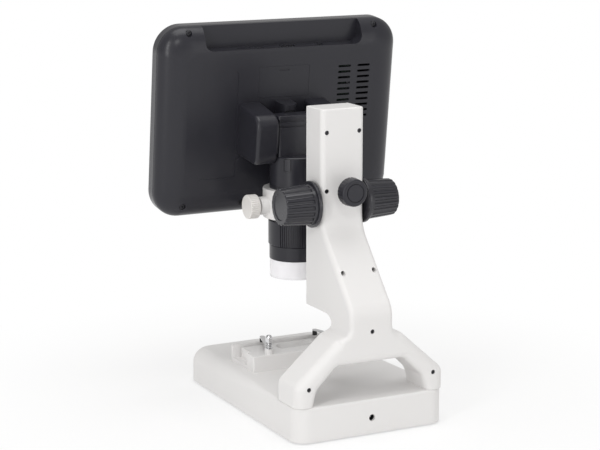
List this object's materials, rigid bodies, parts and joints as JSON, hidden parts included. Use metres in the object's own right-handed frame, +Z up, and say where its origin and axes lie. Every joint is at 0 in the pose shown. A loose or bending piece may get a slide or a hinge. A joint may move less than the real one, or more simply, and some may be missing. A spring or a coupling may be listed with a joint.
{
  "type": "digital microscope with tilting display",
  "caption": "Bench digital microscope: tilting display on a camera head, clamped tube with focus ring and clear skirt, rack column on an arched stand, lit stage.",
  "frame": {"origin": "centre of the bounding box at ground level, under the middle of the base", "axes": "+Z up, -Y towards the user at the display's front, +Y to the column's back"},
  "size_m": [0.2456, 0.24, 0.3519],
  "materials": {
    "white_plastic": "warm white, fine satin grain",
    "black_plastic": "black, fine satin grain",
    "black_gloss": "black, semi-gloss",
    "clear_plastic": "clear, smooth",
    "diffuser": "milky, matt",
    "cream_plastic": "cream, semi-gloss",
    "steel": "ground and bright",
    "chrome_steel": "polished",
    "brass": "turned",
    "rubber": "matt black",
    "circuit_board": "green solder mask",
    "glass": "smooth",
    "cell_wrap": "shrink wrap"
  },
  "bodies": {
    "stand": {"base_shell": "white_plastic", "bottom_cover": "white_plastic", "rubber_feet": "rubber", "base_screws": "steel", "power_inlet": "black_plastic", "lamp_board": "circuit_board", "stage_lamp": "diffuser", "column_housing": "white_plastic", "column_screws": "steel", "top_cap": "white_plastic", "column_front": "white_plastic", "shaft_frame": "black_plastic", "shaft_bushes": "brass", "lock_insert": "brass", "guide_rods": "steel", "stage_plate": "white_plastic", "light_window": "diffuser", "clip_posts": "chrome_steel", "clip_springs": "chrome_steel"},
    "clip_left": {"stage_clip_left": "chrome_steel", "clip_pad_left": "rubber"},
    "clip_right": {"stage_clip_right": "chrome_steel", "clip_pad_right": "rubber"},
    "focus_drive": {"drive_shaft": "steel", "focus_knob_left": "black_gloss", "focus_knob_right": "black_gloss"},
    "lock": {"lock_knob": "black_plastic", "lock_screw": "steel"},
    "slide": {"carriage": "black_plastic", "rack": "brass", "clamp_arm": "white_plastic", "arm_screws": "steel"},
    "clamp_screw": {"thumb_screw": "cream_plastic", "thumb_shank": "steel"},
    "scope": {"tube_body": "black_plastic", "nose_ring": "black_plastic", "light_skirt": "clear_plastic", "led_board": "circuit_board", "leds": "diffuser", "sensor_board": "circuit_board", "camera_head": "black_plastic", "head_cover": "black_plastic", "pivot_pins": "steel"},
    "ring": {"focus_ring": "black_plastic"},
    "optics": {"lens_barrel": "black_plastic", "objective_lens": "glass"},
    "display": {"display_bezel": "black_gloss", "rear_shell": "black_plastic", "cover_glass": "glass", "picture_panel": "black_plastic", "main_board": "circuit_board", "battery": "cell_wrap", "battery_cover": "black_plastic", "display_screws": "steel", "port_sockets": "chrome_steel"},
    "key_1": {"key_1": "black_gloss"},
    "key_2": {"key_2": "black_gloss"},
    "key_3": {"key_3": "black_gloss"},
    "key_4": {"key_4": "black_gloss"},
    "key_5": {"key_5": "black_gloss"}
  },
  "joints": [
    {"name": "focus_knobs", "type": "hinge", "parent": "stand", "child": "focus_drive", "pos_m": [0, 0.05, 0.1985], "axis": [1, 0, 0], "range_deg": [-297, 357]},
    {"name": "focus_slide", "type": "slide", "parent": "stand", "child": "slide", "axis": [0, 0, 1], "range_m": [-0.03, 0.025]},
    {"name": "slide_lock", "type": "hinge", "parent": "stand", "child": "lock", "pos_m": [0, 0.05, 0.2125], "axis": [0, 1, 0], "range_deg": [-90, 270]},
    {"name": "tube_screw", "type": "hinge", "parent": "slide", "child": "clamp_screw", "pos_m": [0.04, -0.03, 0.184], "axis": [1, 0, 0], "range_deg": [-360, 0]},
    {"name": "tube_slide", "type": "slide", "parent": "slide", "child": "scope", "axis": [0, 0, 1], "range_m": [-0.018, 0.002]},
    {"name": "focus_ring_turn", "type": "hinge", "parent": "scope", "child": "ring", "pos_m": [0, -0.03, 0.157], "axis": [0, 0, 1], "range_deg": [-140, 140]},
    {"name": "lens_slide", "type": "slide", "parent": "scope", "child": "optics", "axis": [0, 0, 1], "range_m": [-0.004, 0.004]},
    {"name": "display_tilt", "type": "hinge", "parent": "scope", "child": "display", "pos_m": [0, -0.03, 0.251], "axis": [-1, 0, 0], "range_deg": [-2, 30]},
    {"name": "clip_left_turn", "type": "hinge", "parent": "stand", "child": "clip_left", "pos_m": [0.04, -0.0065, 0.0535], "axis": [0, 0, 1], "range_deg": [-35, 40]},
    {"name": "clip_right_turn", "type": "hinge", "parent": "stand", "child": "clip_right", "pos_m": [-0.04, -0.0065, 0.0535], "axis": [0, 0, 1], "range_deg": [-40, 35]},
    {"name": "key_1_press", "type": "slide", "parent": "display", "child": "key_1", "axis": [0, 0.9928, -0.1194], "range_m": [0, 0.0008], "stiffness_N_per_m": 300},
    {"name": "key_2_press", "type": "slide", "parent": "display", "child": "key_2", "axis": [0, 0.9928, -0.1194], "range_m": [0, 0.0008], "stiffness_N_per_m": 300},
    {"name": "key_3_press", "type": "slide", "parent": "display", "child": "key_3", "axis": [0, 0.9928, -0.1194], "range_m": [0, 0.0008], "stiffness_N_per_m": 300},
    {"name": "key_4_press", "type": "slide", "parent": "display", "child": "key_4", "axis": [0, 0.9928, -0.1194], "range_m": [0, 0.0008], "stiffness_N_per_m": 300},
    {"name": "key_5_press", "type": "slide", "parent": "display", "child": "key_5", "axis": [0, 0.9928, -0.1194], "range_m": [0, 0.0008], "stiffness_N_per_m": 300}
  ],
  "couplings": [
    {"joint": "focus_slide", "follows": "focus_knobs", "m_per_rad": -0.0048},
    {"joint": "lens_slide", "follows": "focus_ring_turn", "m_per_rad": 0.0016}
  ]
}
